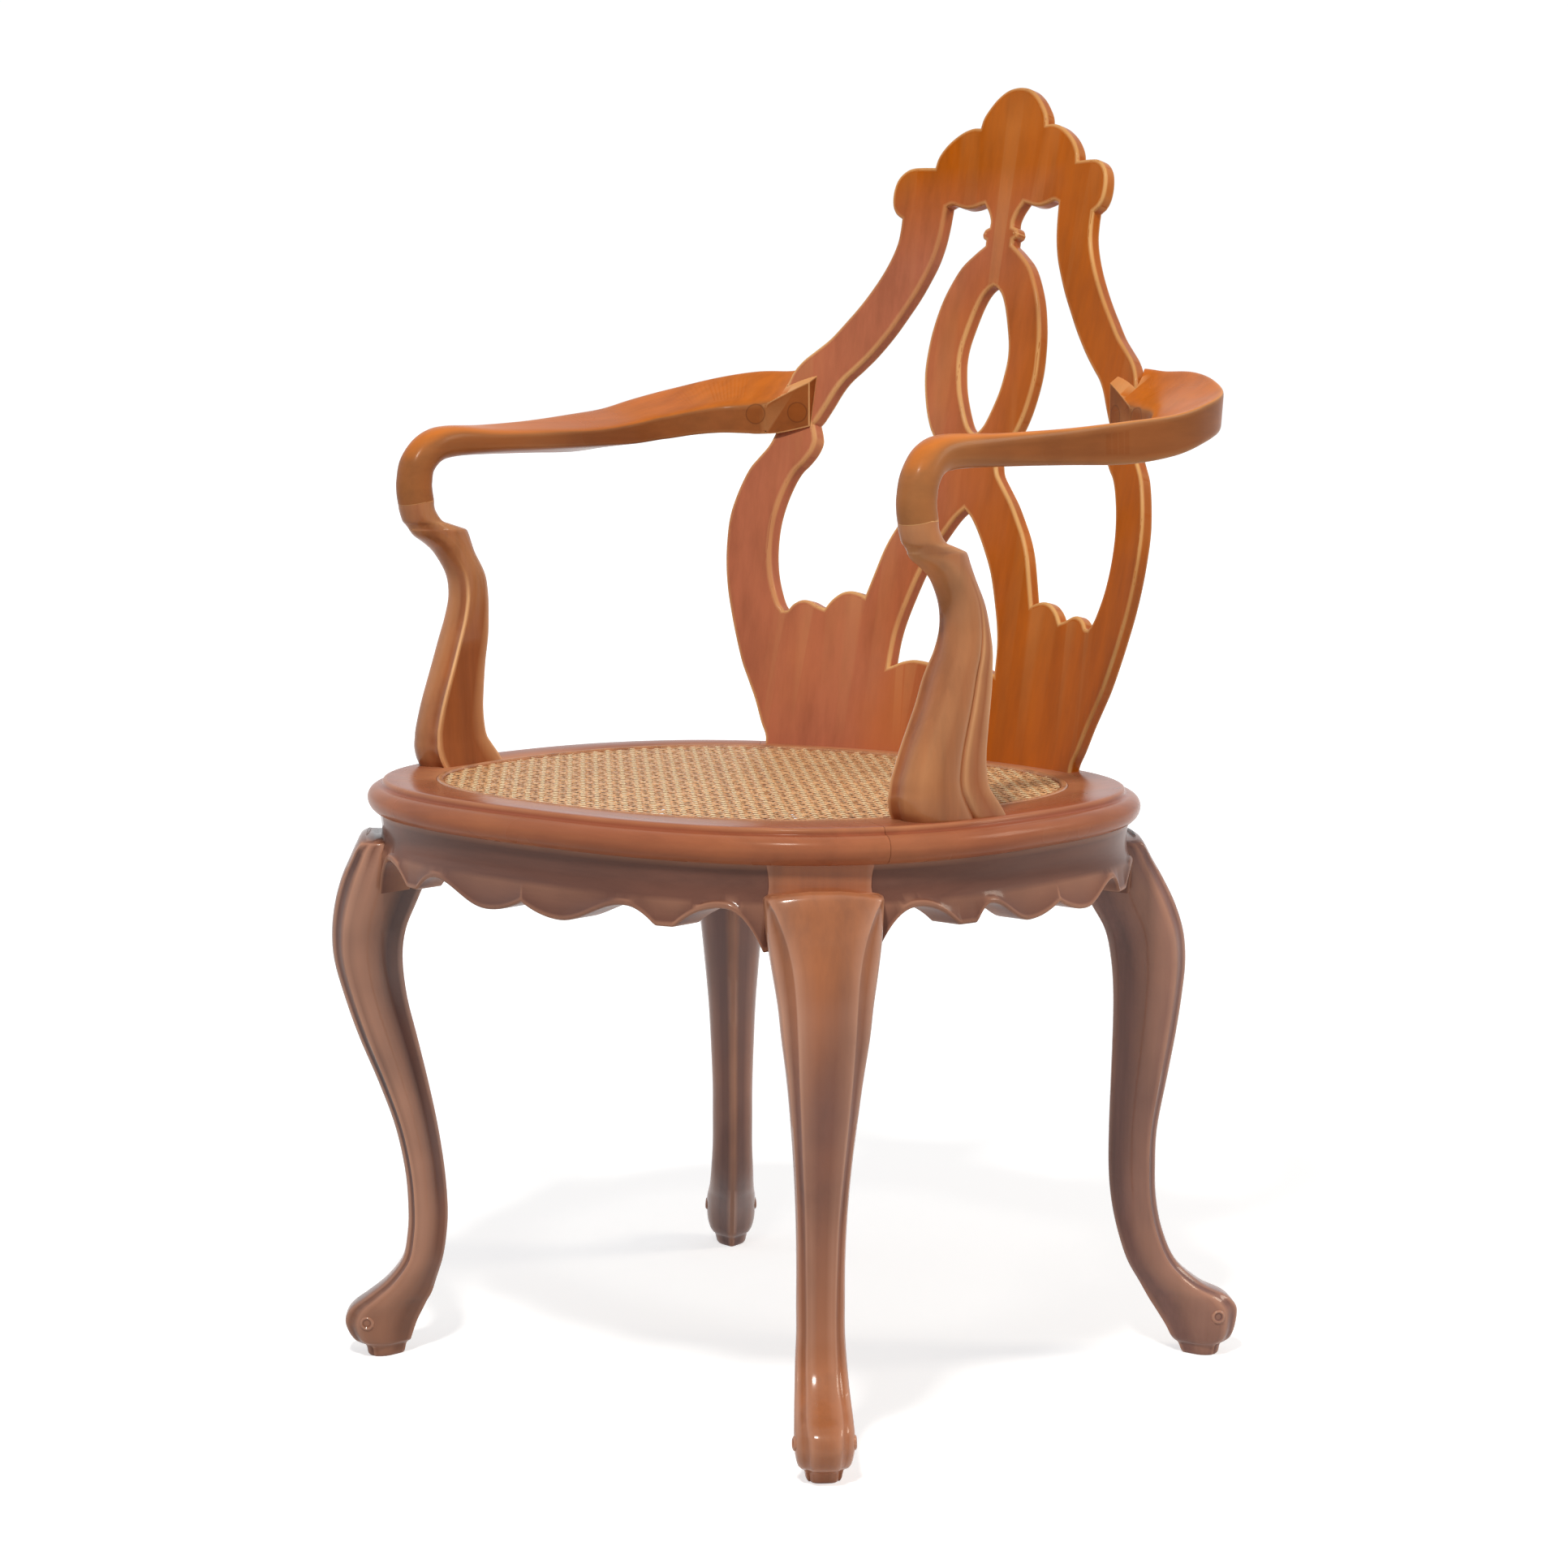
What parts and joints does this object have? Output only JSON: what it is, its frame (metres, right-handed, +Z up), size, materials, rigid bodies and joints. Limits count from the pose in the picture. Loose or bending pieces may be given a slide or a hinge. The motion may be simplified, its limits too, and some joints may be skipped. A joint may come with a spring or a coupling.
{
  "type": "open armchair with cane seat",
  "caption": "Wooden open armchair with cabriole legs, scalloped aprons, an oval moulded frame round a woven cane seat, curled arms and a pierced bent-board back.",
  "frame": {"origin": "on the floor, under the middle of the chair's bounding box", "axes": "+X to the right seen from the front, +Y to the back, -Y is the front of the chair, +Z up"},
  "size_m": [0.5832, 0.5821, 0.9823],
  "materials": {
    "wood_dark": "worn reddish-brown varnish, semi-gloss",
    "wood_seat": "rubbed reddish-brown varnish, glossy on the nosing",
    "wood_light": "orange-brown varnish, semi-gloss",
    "cane": "natural rattan, low sheen",
    "screw_steel": "plain steel",
    "dowel_wood": "bare wood"
  },
  "bodies": {
    "root": {"leg_front_left": "wood_dark", "leg_front_right": "wood_dark", "leg_rear_left": "wood_dark", "leg_rear_right": "wood_dark", "apron_front": "wood_dark", "apron_rear": "wood_dark", "apron_left": "wood_dark", "apron_right": "wood_dark", "seat_rail_front": "wood_seat", "seat_rail_rear": "wood_seat", "seat_rail_left": "wood_seat", "seat_rail_right": "wood_seat", "cane_web": "cane", "cane_spline": "cane", "arm_post_left": "wood_light", "arm_post_right": "wood_light", "arm_left": "wood_light", "arm_right": "wood_light", "back_panel": "wood_light", "brace_front_left": "wood_dark", "brace_front_right": "wood_dark", "brace_rear_left": "wood_dark", "brace_rear_right": "wood_dark", "brace_screws": "screw_steel", "arm_screws": "screw_steel", "arm_dowels": "dowel_wood", "frame_dowels": "dowel_wood"}
  },
  "joints": []
}
